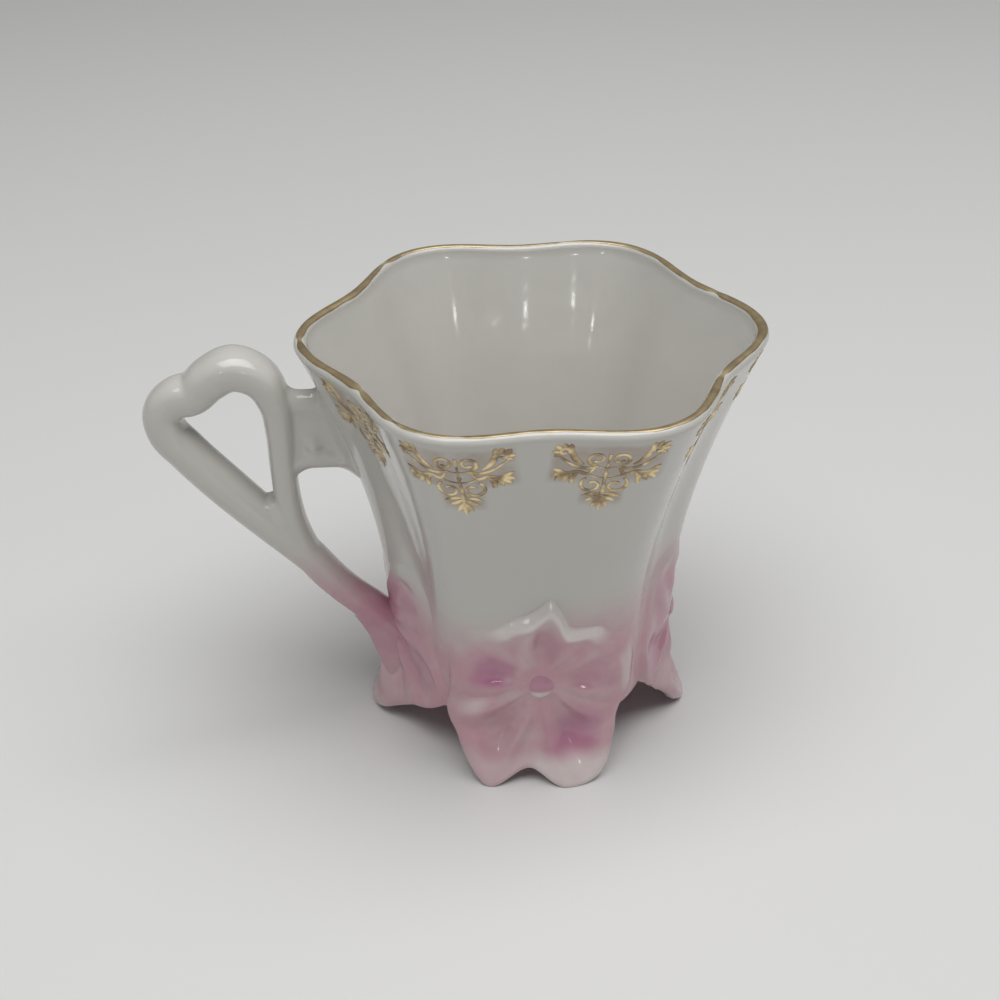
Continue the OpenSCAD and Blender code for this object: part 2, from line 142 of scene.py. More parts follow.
SPRAYS = 9
SPRAY_TURNS = np.radians(np.linspace(210, 510, SPRAYS))
spray_top = rim_z - 2.8
arms_half = 7.2
arms_deep = 6.0
drop_half = 2.2
drop_deep = 10.4
haze_share = 0.85


def haze(a, z):
    """Strength of the grey film of the transfer round each gold spray: a broad band for its arms and a
    narrow drop in the middle, both with soft edges."""
    turn = np.angle(np.exp(1j * (a[..., None] - SPRAY_TURNS)))
    u = np.abs(turn).min(axis=-1) * mean_radius(z)
    v = z - spray_top
    arms = ease(arms_half + 1.2, arms_half, u) * ease(-arms_deep - 1.2, -arms_deep, v)
    drop = ease(drop_half + 1, drop_half, u) * ease(-drop_deep - 1.2, -drop_deep, v)
    return np.maximum(arms, drop) * ease(1.3, 0.5, v)


def ring_rows(read_z, depth, z):
    """Rows for rings of the bowl: the height where the outside is read, the distance inside it, and the
    height of the ring."""
    return np.stack(np.broadcast_arrays(read_z, depth, z), axis=-1)


edge_turn = np.radians(np.linspace(0, 90, 6))
lip_turn = np.radians(np.linspace(0, 180, 15))[1:-1]
corner_turn = np.radians(np.linspace(0, 90, 12))[1:]
corner_z = base_z + floor_wall + floor_corner
outside_z = np.linspace(base_z + base_edge, lip_z, 76)[1:]
inside_z = np.linspace(lip_z, corner_z, 44)
inside_wall = base_wall + (lip_wall - base_wall) * (inside_z - base_z) / (lip_z - base_z)
under_depth = base_edge + base_ring + np.array([base_hollow, 0.5 * base_hollow, 0, -0.5 * base_ring])
under = ring_rows(base_z + base_edge, under_depth, base_z + base_hollow * np.array([1, 0.5, 0, 0]))
edge = ring_rows(base_z + base_edge, base_edge * (1 - np.sin(edge_turn)),
                 base_z + base_edge * (1 - np.cos(edge_turn)))
outer = ring_rows(outside_z, 0, outside_z)
lip = ring_rows(lip_z, lip_wall / 2 * (1 - np.cos(lip_turn)), lip_z + lip_wall / 2 * np.sin(lip_turn))
inner = ring_rows(inside_z, inside_wall, inside_z)
corner = ring_rows(corner_z, inside_wall[-1] + floor_corner * (1 - np.cos(corner_turn)),
                   corner_z - floor_corner * np.sin(corner_turn))
rings = np.concatenate([under, edge, outer, lip, inner, corner])
turn = np.linspace(0, 2 * np.pi, AROUND, endpoint=False)
bowl_grid = polar(skin_radius(turn, rings[:, :1]) - rings[:, 1:2], turn, rings[:, 2:])
count = len(rings) * AROUND
bowl_points = np.concatenate([bowl_grid.reshape(-1, 3), [[0, 0, rings[0, 2]], [0, 0, rings[-1, 2]]]])
first_ring = np.arange(AROUND)
last_ring = first_ring + count - AROUND
painted = len(under) + len(edge) + len(outer) + len(lip) // 2
outside = (np.arange(len(rings)) < painted)[:, None]
bowl_wash = np.append(outside * wash(turn, rings[:, 2:]), [0.3, 0])
bowl_haze = np.append(haze_share * outside * haze(turn, rings[:, 2:]), [0, 0])
bowl_faces = [grid_quads(len(rings), AROUND, loop_cols=True), fan(first_ring[::-1], count),
              fan(last_ring, count + 1)]
bowl = add_piece("bowl_porcelain", bowl_points, bowl_faces, {"wash": bowl_wash, "haze": bowl_haze})


def porcelain_glaze():
    """White body under a clear gloss glaze: pink wash, rose enamel, pale glaze with painted highlights
    and film by the named values at each point, broken up by a soft noise, with a faint waviness of the
    glaze."""
    material = bpy.data.materials.new("porcelain_glaze")
    material.use_nodes = True
    nodes = material.node_tree.nodes
    link = material.node_tree.links.new
    shader = nodes["Principled BSDF"]
    place = nodes.new("ShaderNodeTexCoord")
    cloud = nodes.new("ShaderNodeTexNoise")
    cloud.inputs["Scale"].default_value = 260
    cloud.inputs["Detail"].default_value = 4
    link(place.outputs["Object"], cloud.inputs["Vector"])
    white = (0.61, 0.595, 0.555, 1)
    colour = None
    tints = [
        ("wash", (0.57, 0.325, 0.375, 1), 0.22),
        ("rose", (0.48, 0.18, 0.30, 1), 0.2),
        # Pale glaze, and painted highlights on the bosses' lower edges, the front rims and a foot
        ("pale_and_highlight", (0.80, 0.75, 0.72, 1), 0.2),
        ("haze", (0.46, 0.40, 0.35, 1), 0.5),
    ]
    for name, paint, grain in tints:
        amount = nodes.new("ShaderNodeAttribute")
        amount.attribute_name = name
        spread = nodes.new("ShaderNodeMapRange")
        spread.inputs["From Min"].default_value = 0.3
        spread.inputs["From Max"].default_value = 0.7
        spread.inputs["To Min"].default_value = 1 - grain
        spread.inputs["To Max"].default_value = 1 + grain
        link(cloud.outputs["Fac"], spread.inputs["Value"])
        part = nodes.new("ShaderNodeMath")
        part.operation = "MULTIPLY"
        part.use_clamp = True
        link(amount.outputs["Fac"], part.inputs[0])
        link(spread.outputs["Result"], part.inputs[1])
        mix = nodes.new("ShaderNodeMix")
        mix.data_type = "RGBA"
        link(part.outputs["Value"], mix.inputs["Factor"])
        if colour is None:
            mix.inputs["A"].default_value = white
        else:
            link(colour, mix.inputs["A"])
        mix.inputs["B"].default_value = paint
        colour = mix.outputs["Result"]
    link(colour, shader.inputs["Base Color"])
    ripple = nodes.new("ShaderNodeTexNoise")
    ripple.inputs["Scale"].default_value = 150
    ripple.inputs["Detail"].default_value = 2
    link(place.outputs["Object"], ripple.inputs["Vector"])
    bump = nodes.new("ShaderNodeBump")
    bump.inputs["Strength"].default_value = 0.35
    bump.inputs["Distance"].default_value = 0.0004
    link(ripple.outputs["Fac"], bump.inputs["Height"])
    link(bump.outputs["Normal"], shader.inputs["Normal"])
    shader.inputs["Roughness"].default_value = 0.12
    shader.inputs["IOR"].default_value = 1.52
    shader.inputs["Coat Weight"].default_value = 0.3
    shader.inputs["Coat Roughness"].default_value = 0.04
    return material


porcelain = porcelain_glaze()


def finish_piece(piece, material, slot, *nodes):
    """Gives a piece its material, puts it on the cup and hides what it stands for. The slot is not used.
    """
    piece.data.materials.append(material)
    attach(piece, "root")
    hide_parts(*nodes)


finish_piece(bowl, porcelain, "porcelain", "bowl")


# Handle
# A heart on a bar, moulded in one with the lug at its back and luted to the bowl at the lug and at the
# root of the bar, which spreads down over the left blossom. The strand is a rounded oblong rod that
# swells at its arch and thumb tip.
handle_reach = -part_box("handle")[0].x / mm
handle_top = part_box("handle")[1].z / mm
lug_near = 38.5
lug_top = 60.0
lug_bottom = 45.6
lug_half = 2.5
pip_z = 50.5
pip_rise = 1.3
joint_depth = 1.2
melt_voxel = 0.25
melt_passes = 10


def curve_through(at, values, x):
    """Cubic through values given at the places at, read at x, with the slope at each place taken from
    its neighbours."""
    slope = np.gradient(values, at, axis=0)
    k = np.clip(np.searchsorted(at, x, side="right") - 1, 0, len(at) - 2)
    step = at[k + 1] - at[k]
    t = (x - at[k]) / step
    lift = [2 * t**3 - 3 * t**2 + 1, t**3 - 2 * t**2 + t, 3 * t**2 - 2 * t**3, t**3 - t**2]
    shape = (-1,) + (1,) * (values.ndim - 1)
    h00, h10, h01, h11 = [b.reshape(shape) for b in lift]
    step = step.reshape(shape)
    return h00 * values[k] + h10 * step * slope[k] + h01 * values[k + 1] + h11 * step * slope[k + 1]


def squarish(wave):
    """A sine or cosine drawn out towards its peaks, which turns an oval into a rounded oblong."""
    return np.sign(wave) * np.abs(wave) ** 0.8


def rod(knots, steps, sides):
    """Rod in the plane of the handle along a curve through knots of [place, height, thickness, width]:
    at each step a rounded oblong ring of points square to the curve, as wide as the knots say."""
    knots = np.array(knots, float)
    run = np.concatenate([[0], np.cumsum(np.linalg.norm(np.diff(knots[:, :2], axis=0), axis=1))])
    line = curve_through(run, knots, np.linspace(0, run[-1], steps))
    along = np.gradient(line[:, :2], axis=0)
    along /= np.linalg.norm(along, axis=1, keepdims=True)
    turn = np.linspace(0, 2 * np.pi, sides, endpoint=False)
    off = line[:, 2:3] / 2 * squarish(np.cos(turn))
    place = line[:, :1] - along[:, 1:] * off
    height = line[:, 1:2] + along[:, :1] * off
    wide = line[:, 3:] / 2 * squarish(np.sin(turn))
    points = np.stack([-place, wide, height], axis=-1).reshape(-1, 3)
    ends = [np.arange(sides)[None, :], np.arange(sides)[None, ::-1] + (steps - 1) * sides]
    return points, [grid_quads(steps, sides, loop_cols=True)[:, ::-1]] + ends


def lug_block(steps, sides):
    """Lug from the heart to the wall: rings in planes square to its run, each a rounded oblong with a
    thinner waist, which grows towards both ends, and a small round pip on its front."""
    t = np.linspace(0, 1, steps)[:, None]
    turn = np.linspace(0, 2 * np.pi, sides, endpoint=False)[None, :]
    cove = 2.4 * ease(0.46, 0, t) ** 2 + 2.0 * ease(0.6, 1, t) ** 2
    tall = (lug_top - lug_bottom) / 2 - 0.5 + cove
    up = squarish(np.sin(turn))
    out = squarish(np.cos(turn))
    roll = 0.55 + 0.45 * ease(0.35, 0.8, np.abs(up))
    roll = roll + 0.25 * ease(0.3, 0, t) + 1.1 * ease(0.62, 1, t) ** 2
    height = (lug_top + lug_bottom) / 2 + tall * up
    pip = pip_rise * np.exp(-((t - 0.45) / 0.1) ** 2 - ((height - pip_z) / 1.3) ** 2) * (out < 0)
    wide = lug_half * roll * out - pip
    wall = skin_radius(np.pi, height) - joint_depth
    place = lug_near + (wall - lug_near) * t
    points = np.stack([-place, np.broadcast_to(wide, place.shape), height], axis=-1).reshape(-1, 3)
    ends = [np.arange(sides)[None, ::-1], np.arange(sides)[None, :] + (steps - 1) * sides]
    return points, [grid_quads(steps, sides, loop_cols=True)] + ends


def melted(name, solids):
    """One skin round overlapping closed solids: they are remeshed on a fine grid and smoothed, as glaze
    softens the corners where two pieces of clay meet, and go no further into the wall than the joint's
    depth."""
    count = np.cumsum([0] + [len(points) for points, faces in solids])
    faces = [f + start for start, (points, parts) in zip(count, solids) for f in parts]
    rough = add_piece(name + "_rough", np.concatenate([points for points, parts in solids]), faces)
    remesh = rough.modifiers.new("skin", "REMESH")
    remesh.mode = "VOXEL"
    remesh.voxel_size = melt_voxel * mm
    soften = rough.modifiers.new("soften", "SMOOTH")
    soften.factor = 0.5
    soften.iterations = melt_passes
    shaped = rough.evaluated_get(bpy.context.evaluated_depsgraph_get())
    mesh = bpy.data.meshes.new_from_object(shaped)
    mesh.name = name
    bpy.data.objects.remove(rough)
    mesh.polygons.foreach_set("use_smooth", np.ones(len(mesh.polygons), dtype=bool))
    piece = bpy.data.objects.new(name, mesh)
    bpy.context.scene.collection.objects.link(piece)
    points = np.empty(len(mesh.vertices) * 3, dtype=np.float32)
    mesh.vertices.foreach_get("co", points)
    points = points.reshape(-1, 3) / mm
    a = np.arctan2(points[:, 1], points[:, 0])
    r = np.hypot(points[:, 0], points[:, 1])
    points = polar(np.maximum(r, skin_radius(a, points[:, 2]) - joint_depth), a, points[:, 2])
    mesh.vertices.foreach_set("co", np.ascontiguousarray(points * mm, dtype=np.float32).ravel())
    mesh.update()
    return piece, points


def set_tint(piece, name, values):
    """Stores a value at each point of a finished mesh under a name that the glaze reads."""
    layer = piece.data.attributes.new(name, "FLOAT", "POINT")
    layer.data.foreach_set("value", np.ascontiguousarray(values, dtype=np.float32))


tip_x = handle_reach - 3.15
arch_z = handle_top - 3.2
HEART = [
    [20.8, 15.0, 6.2, 8.0], [23.0, 16.4, 5.6, 7.2], [26.4, 19.8, 4.9, 6.2], [30.8, 23.9, 4.6, 5.8],
    [34.7, 28.6, 4.5, 5.8], [37.1, 34.4, 4.3, 6.0], [38.2, 41.0, 4.1, 6.2], [38.5, 47.0, 4.2, 6.4],
    [38.6, 53.0, 4.4, 6.8], [39.1, 58.0, 5.0, 7.2], [41.2, arch_z - 1.6, 5.8, 7.8],
    [45.0, arch_z, 6.4, 8.0], [48.6, arch_z - 1.7, 6.4, 8.0], [51.2, arch_z - 4.0, 6.2, 7.6],
    [53.7, arch_z - 4.6, 6.0, 7.2], [tip_x, arch_z - 6.8, 6.0, 7.0],
    [tip_x - 0.3, arch_z - 10.2, 6.0, 7.0], [tip_x - 3.0, arch_z - 14.0, 6.0, 7.0],
    [46.8, 42.4, 6.0, 7.0], [41.0, 36.0, 5.5, 6.8], [35.4, 29.8, 4.9, 6.2], [30.8, 24.2, 4.5, 5.8],
    [27.0, 20.6, 4.2, 5.4],
]
CROTCH = [[37.0, 34.6, 3.4, 5.4], [40.2, 38.8, 5.0, 5.6], [40.9, 40.6, 3.8, 4.8]]
ROOT = [
    [27.6, 19.8, 3.8, 5.4], [24.6, 16.8, 6.2, 6.6], [22.2, 13.2, 8.0, 7.8], [21.4, 9.6, 7.4, 8.6],
    [21.5, 6.2, 6.6, 8.8], [21.9, 3.4, 6.0, 7.5],
]
solids = [rod(HEART, 260, 36), rod(CROTCH, 24, 24), rod(ROOT, 60, 36), lug_block(24, 48)]
handle, handle_at = melted("handle_porcelain", solids)
handle_z = handle_at[:, 2]
set_tint(handle, "wash", 0.9 * ease(34, 21, handle_z))
set_tint(handle, "rose", 0.4 * ease(24.5, 18, handle_z) * ease(11, 17, handle_z))
set_tint(handle, "pale_and_highlight", 0.3 * ease(4.6, 2.2, handle_z))
finish_piece(handle, porcelain, "porcelain", "handle", "handle_lug")


# Blossoms
# Each blossom is press-moulded from the same clay as the bowl and fixed to its lower wall while it is
# damp. Its petals are cupped, with soft rolled rims, and they melt into the wall under the glaze.
BLOSSOMS = {"front": 270, "right": 0, "back": 90, "left": 180}
PAIRED = ("front", "back")
bloom_z = 18.0
bloom_lean = math.radians(-6)
pitch = 72
sink = 0.4
overlap = 6
hub_r = 0.8
toe_edge = 1.4


def petal_relief(q, c, rim):
    """Height of a petal off the wall: a dished floor that rises to a rim along its tip, where q is 1,
    and along its sides, and falls at each side, where c is -1 or 1, to a soft valley that begins outside
    the boss."""
    rise = ease(0.5, 0.93, q)
    side = ease(0.2, 0.66, np.abs(c)) * ease(0.1, 0.55, q)
    heart = 0.25 + 0.15 * ease(0.35, 0, q)
    body = heart + (rim - heart) * (1 - (1 - rise) * (1 - 0.75 * side))
    return body * (1 - 0.4 * ease(0.5, 1.0, np.abs(c)) * ease(0.16, 0.34, q))


def petal_shell(name, mid, stations, first, petals, spine, tint):
    """Closed shell of some petals of a blossom. Directions run round its middle, distances out to an
    outline, and the stations give that outline and the height of the rim. A spine may run down the
    middle of each petal, and shallow wrinkles cross its floor. On the wall the front falls away past
    the outline, softly where the rim is low, and the back lies just inside the wall; below the bowl the
    edge is rounded and the back follows the wall's line down to the table. The shell runs on a little
    past its last petal on both sides and dips there, under the shell beside it."""
    last = first + petals * pitch
    f = np.linspace(first - overlap, last + overlap, petals * 48 + 9)
    at, long, rims = np.array(stations, float).T
    length = curve_through(at, long, f)
    w = np.clip((f - first) / pitch, 0, petals)
    c = 2 * (w - np.floor(w)) - 1
    crest = (1 - c ** 2) ** 1.5
    rim = curve_through(at, rims, f) + 0.4 * spine * crest
    way = np.radians(f) + bloom_lean
    free_end = ease(base_z + 2.5, base_z, bloom_z + length * np.sin(way))
    fall = np.clip(4.4 - 2.2 * rim, 1.1, 3.2)
    even = np.linspace(0, 0.8, 28)[:-1]
    closing = 0.8 + 0.2 * np.sin(np.linspace(0, np.pi / 2, 26))
    t = np.concatenate([even, closing])[:, None]
    d = hub_r + (length + fall * (1 - free_end) - hub_r) * t
    q = d / length
    beyond = ease(0, overlap, first - f) + ease(0, overlap, f - last)
    z = np.maximum(0, bloom_z + d * np.sin(way))
    a = math.radians(mid) + d * np.cos(way) / waist_r
    relief = petal_relief(np.minimum(q, 1), c, rim)
    relief = relief + spine * crest * ease(0.05, 0.35, q) * ease(0.95, 0.5, q)
    wrinkle = 0.13 * np.sin(0.19 * f + 7 * q) + 0.11 * np.sin(0.09 * f - 9 * q + 1)
    relief = relief + wrinkle * ease(0.2, 0.5, q) * ease(1, 0.85, q) * (1 - c ** 4)
    on_wall = relief * (1 - ease(-0.7, fall, d - length)) - 0.04
    nose = np.clip((d - length) / toe_edge + 1, 0, 1)
    bulge = np.sqrt(1 - nose ** 2)
    free_front = relief * (0.5 + 0.5 * bulge)
    free_back = relief * (0.5 - 0.5 * bulge)
    below = ease(base_z + 1.5, base_z - 0.5, z)
    front = on_wall + (free_front - on_wall) * free_end - 0.12 * beyond
    back = -sink + (free_back + sink) * below * free_end
    wall = skin_radius(a, z)
    grid = np.concatenate([polar(wall + front, a, z), polar(wall + back, a, z)[::-1]])
    rows, cols = grid.shape[:2]
    j = np.arange(rows // 2 - 1)
    cap = np.stack([j * cols, (j + 1) * cols, (rows - 2 - j) * cols, (rows - 1 - j) * cols], -1)
    faces = [grid_quads(rows, cols, loop_rows=True)[:, ::-1], cap, (cap + cols - 1)[:, ::-1]]
    shares = np.broadcast_arrays(f, q, c, a, z)
    tints = {k: np.concatenate([v, v[::-1]]) for k, v in tint(*shares).items()}
    return add_piece(name, grid.reshape(-1, 3), faces, tints)


def petal_tint(f, q, c, a, z):
    """Colour of a petal: the wall's pink at its edge, more of it inside, a little rose in its hollow,
    and slightly paler glaze along the ridges at its sides."""
    off = np.abs(c)
    hollow = ease(0.28, 0.42, q) * ease(0.86, 0.7, q) * ease(0.8, 0.4, off)
    pink = 1 - (1 - wash(a, z)) * (1 - 0.8 * ease(1.1, 0.85, q) * ease(36, 23, z))
    ridge = ease(0.42, 0.62, off) * ease(0.9, 0.7, off) * ease(0.3, 0.5, q) * ease(1, 0.85, q)
    return {"wash": pink, "rose": 0.15 * hollow, "pale_and_highlight": 0.07 * ridge}


def side_tint(f, q, c, a, z):
    """Colour of a side petal: the same, with rose all over its lower part."""
    tints = petal_tint(f, q, c, a, z)
    lower = ease(33, 22, z) * ease(8, 13, z) * ease(1.1, 0.8, q)
    return tints | {"rose": tints["rose"] + 0.22 * lower}


def face_tint(f, q, c, a, z):
    """Colour of a front petal: most rose in the left petal, with a pale fold beside it, and paler glaze
    down a tongue in the petal that points up. Along the rim of that petal and on the tip of the right
    one the glaze is paler and a highlight is painted too."""
    tints = petal_tint(f, q, c, a, z)
    # rim: paler glaze with a painted highlight along the upward petal's rim and the right petal's tip
    rim = ease(0.84, 0.93, q) * ease(1.12, 1.03, q)
    top = ease(46, 60, f) * ease(138, 124, f)
    tip = ease(-14, 0, f) * ease(34, 20, f)
    left = ease(130, 150, f)
    tongue = np.exp(-((f - 150 + 55 * q) * q / 6.5) ** 2) * ease(0.24, 0.36, q) * ease(0.92, 0.76, q)
    fold = np.exp(-((f - 174) / 9) ** 2 - ((q - 0.4) / 0.05) ** 2)
    # pale: paler glaze, and on the rims a painted highlight as well
    pale = np.maximum(rim * np.maximum(0.9 * top, 0.4 * tip), np.maximum(0.22 * tongue, 0.3 * fold))
    return tints | {"rose": tints["rose"] * (1 + 4.2 * left + 1.4 * tip) * (1 - tongue),
                    "pale_and_highlight": np.maximum(tints["pale_and_highlight"], pale)}


# Stations of an outline: direction in degrees, distance from the middle and height of the rim
PAIR_PETALS = [
    (-40, 15.2, 2.0), (-18, 14.6, 1.6), (-9, 14.9, 1.2), (3, 14.2, 0.9), (19, 14.0, 0.8),
    (36, 13.6, 0.8), (50, 12.6, 1.2), (58, 12.9, 1.4), (66, 11.6, 1.4), (74, 10.9, 1.3),
    (80, 12.0, 1.4), (86, 14.0, 1.5), (91, 15.2, 1.6), (96, 14.0, 1.5), (102, 12.9, 1.5),
    (114, 12.5, 1.4), (126, 12.1, 1.1), (133, 12.4, 0.8), (144, 13.0, 0.7), (156, 13.2, 0.7),
    (174, 13.3, 0.9), (186, 13.8, 1.3), (198, 15.0, 1.6), (212, 17.0, 2.0),
]
LONE_PETALS = [
    (-76, 16.0, 2.7), (-64.5, 15.9, 2.5), (-54, 15.4, 2.2), (-43, 15.6, 1.7), (-33, 16.9, 1.4),
    (-25, 18.0, 1.2), (-17, 18.9, 1.1), (-8, 17.6, 1.0), (2, 15.2, 1.0), (18, 12.6, 0.7),
    (32, 14.0, 0.6), (54, 14.6, 0.5), (70, 13.0, 0.4), (82, 9.6, 0.4), (90, 8.0, 0.4), (98, 9.6, 0.4),
    (110, 13.0, 0.4), (126, 14.6, 0.5), (148, 14.0, 0.6), (162, 12.6, 0.7), (176, 14.2, 0.9),
    (198, 14.6, 1.3), (218, 14.9, 1.7), (234, 14.4, 2.2), (256, 16.2, 2.7),
]
for side, mid in BLOSSOMS.items():
    if side in PAIRED:
        blossom = petal_shell("petals_" + side, mid, PAIR_PETALS, -18, 3, 0, face_tint)
    else:
        blossom = petal_shell("petals_" + side, mid, LONE_PETALS, -54, 4, 0, side_tint)
    finish_piece(blossom, porcelain, "blush", "blossom_" + side)


# Bosses
# The middle of each blossom but the one behind the handle is a low dome of clay, pressed on and
# touched with rose enamel, with a highlight painted pale along its lower edge.
boss_r = 2.4
boss_h = 0.9
boss_seat = 0.1
boss_z = bloom_z - 0.5
BOSS_SIDES = 48
BOSS_RINGS = 16
boss_turn = np.radians(np.linspace(0, 360, BOSS_SIDES, endpoint=False))
boss_share = np.linspace(1, 0.04, BOSS_RINGS)[:, None]
boss_out = boss_r * boss_share * (1 + 0.04 * np.sin(3 * boss_turn + 1))
boss_rise = np.broadcast_to(boss_h * (1 - boss_share ** 2.4), boss_out.shape)
for side in ("front", "right", "back"):
    mid = math.radians(BLOSSOMS[side])
    z = boss_z + boss_out * np.sin(boss_turn)
    a = mid + boss_out * np.cos(boss_turn) / waist_r
    wall = skin_radius(mid, boss_z)
    dome = polar(wall + boss_seat + boss_rise, a, z)
    foot = polar(wall - sink, a[:1], z[:1])
    points = np.concatenate([foot, dome]).reshape(-1, 3)
    count = len(points)
    poles = polar(np.array([wall - sink, wall + boss_seat + boss_h]), mid, boss_z)
    ring = np.arange(BOSS_SIDES)
    faces = [grid_quads(BOSS_RINGS + 1, BOSS_SIDES, loop_cols=True), fan(ring[::-1], count),
             fan(ring + count - BOSS_SIDES, count + 1)]
    # pale: a painted highlight along the lower edge of the dome
    pale = np.concatenate([np.zeros((1, BOSS_SIDES)), ease(-0.4, -1.1, boss_out * np.sin(boss_turn))])
    tints = {"wash": np.full(count + 2, 0.8), "rose": np.append(0.55 * (1 - pale), [0.5, 0.55]),
             "pale_and_highlight": np.append(0.7 * pale, [0, 0])}
    boss = add_piece("boss_%s_bead" % side, np.concatenate([points, poles]), faces, tints)
    finish_piece(boss, porcelain, "rose", "boss_" + side)


# Feet
# The lowest petals of each blossom run on below the bowl as its feet: two toes at the front and back
# and one at each side. They are pressed with the blossom and wiped flat where they stand on the table.
left_spine = 2.6


def foot_tint(f, q, c, a, z):
    """Colour of a foot: pink that fades to bare white towards the toe, with rose in its hollow. On the
    right of a pair the rose is stronger and the toe whiter, and on the left is a painted highlight high
    up."""
    hollow = ease(0.3, 0.5, q) * ease(0.86, 0.7, q) * ease(0.95, 0.4, np.abs(c))
    strong = ease(266, 276, f)
    # A highlight painted pale high up on the left foot of a pair
    painted_highlight_spot = np.exp(-((f - 206) / 7) ** 2 - ((q - 0.64) / 0.12) ** 2)
    toe = (0.3 + 0.4 * strong) * ease(6.6, 3.4, z)
    return {"wash": np.full(z.shape, 0.9), "rose": (0.15 + 0.4 * strong) * hollow,
            "pale_and_highlight": np.maximum(toe, 0.5 * painted_highlight_spot)}


def lone_tint(f, q, c, a, z):
    """Colour of a foot that stands alone: pink almost to the table, with rose high up, and slightly
    paler along its sides."""
    off = np.abs(c)
    ridge = ease(0.45, 0.65, off) * ease(0.95, 0.75, off) * ease(0.35, 0.55, q) * ease(1, 0.85, q)
    toe = 0.3 * ease(4.6, 2.2, z)
    return {"wash": np.full(z.shape, 0.85), "rose": 0.22 * ease(8, 13, z),
            "pale_and_highlight": np.maximum(toe, 0.1 * ridge)}


RIGHT_FOOT = [
    (256, 17.4, 2.0), (264, 16.0, 1.9), (270, 15.4, 1.9), (276, 16.2, 2.0), (281, 17.5, 2.3),
    (286, 18.6, 2.5), (291, 19.0, 2.6), (297, 19.3, 2.6), (303, 19.1, 2.6), (309, 18.3, 2.5),
    (315, 17.2, 2.3), (322, 16.2, 2.1), (332, 15.0, 1.8), (342, 14.6, 1.6), (354, 14.6, 1.3),
]
LEFT_FOOT = [
    (186, 13.8, 1.3), (198, 15.0, 1.6), (208, 16.6, 1.9), (214, 16.9, 2.1), (223, 16.7, 2.4),
    (233, 17.6, 2.6), (243, 18.9, 2.6), (249, 19.7, 2.6), (253, 20.0, 2.5), (257, 19.0, 2.3),
    (260, 17.6, 2.1), (264, 16.2, 1.9), (270, 15.4, 1.9), (278, 16.6, 2.0),
]
LONE_FOOT = [
    (220, 14.8, 1.8), (234, 14.4, 2.2), (242, 14.6, 2.4), (250, 15.3, 2.7), (256, 16.2, 2.9),
    (262, 17.4, 3.1), (268, 18.3, 3.2), (273, 18.4, 3.2), (279, 18.0, 3.1), (286, 17.2, 2.9),
    (295, 16.0, 2.5), (306, 15.4, 2.2), (320, 15.8, 1.8),
]
for side, mid in BLOSSOMS.items():
    if side in PAIRED:
        right = petal_shell("foot_%s_right_petal" % side, mid, RIGHT_FOOT, 270, 1, 0, foot_tint)
        left = petal_shell("foot_%s_left_petal" % side, mid, LEFT_FOOT, 270 - pitch, 1, 0, foot_tint)
        finish_piece(right, porcelain, "blush", "foot_%s_right" % side)
        finish_piece(left, porcelain, "blush", "foot_%s_left" % side)
    else:
        spine = left_spine if side == "left" else 0
        lone = petal_shell("foot_%s_petal" % side, mid, LONE_FOOT, 270 - pitch / 2, 1, spine, lone_tint)
        finish_piece(lone, porcelain, "blush", "foot_" + side)


# Lip gilding
# Bright gold brushed along the top of the lip and fired at a low heat. Its edges waver with the brush,
# and it has rubbed thin in places.
gold = 0.05
gold_sink = 0.1
GOLD_ROWS = 13
WORN = np.radians([182, 214, 232, 248, 328, 20, 77, 131])
worn_half = 0.035
worn_turn = np.angle(np.exp(1j * (turn[:, None] - WORN)))
bare_spot = np.exp(-(worn_turn / worn_half) ** 2).max(axis=1)
middle_turn = 92 + 5 * np.sin(3 * turn + 0.4) + 2 * np.sin(29 * turn)
half_turn = 36 + 10 * np.cos(2 * turn) + 5 * np.sin(7 * turn + 1)
half_turn += 3 * np.sin(17 * turn + 2) + 2 * np.sin(43 * turn)
half_turn *= 1 - 0.55 * bare_spot
share = np.linspace(-1, 1, GOLD_ROWS)[:, None]
lip_angle = np.radians(middle_turn + half_turn * share)
skin = gold * (1 - 0.9 * share ** 6)


def lip_ring(off):
    """Points round the lip at the gilding's angles, off its rounded edge by the given distance."""
    reach = skin_radius(turn, lip_z) - lip_wall / 2 + (lip_wall / 2 + off) * np.cos(lip_angle)
    return polar(reach, turn, lip_z + (lip_wall / 2 + off) * np.sin(lip_angle))


gilding_grid = np.concatenate([lip_ring(skin), lip_ring(-gold_sink)[::-1]])
gilding = add_piece("lip_gold", gilding_grid.reshape(-1, 3),
                    [grid_quads(2 * GOLD_ROWS, AROUND, loop_rows=True, loop_cols=True)],
                    {"worn": np.tile(0.2 + 0.6 * bare_spot, 2 * GOLD_ROWS)})


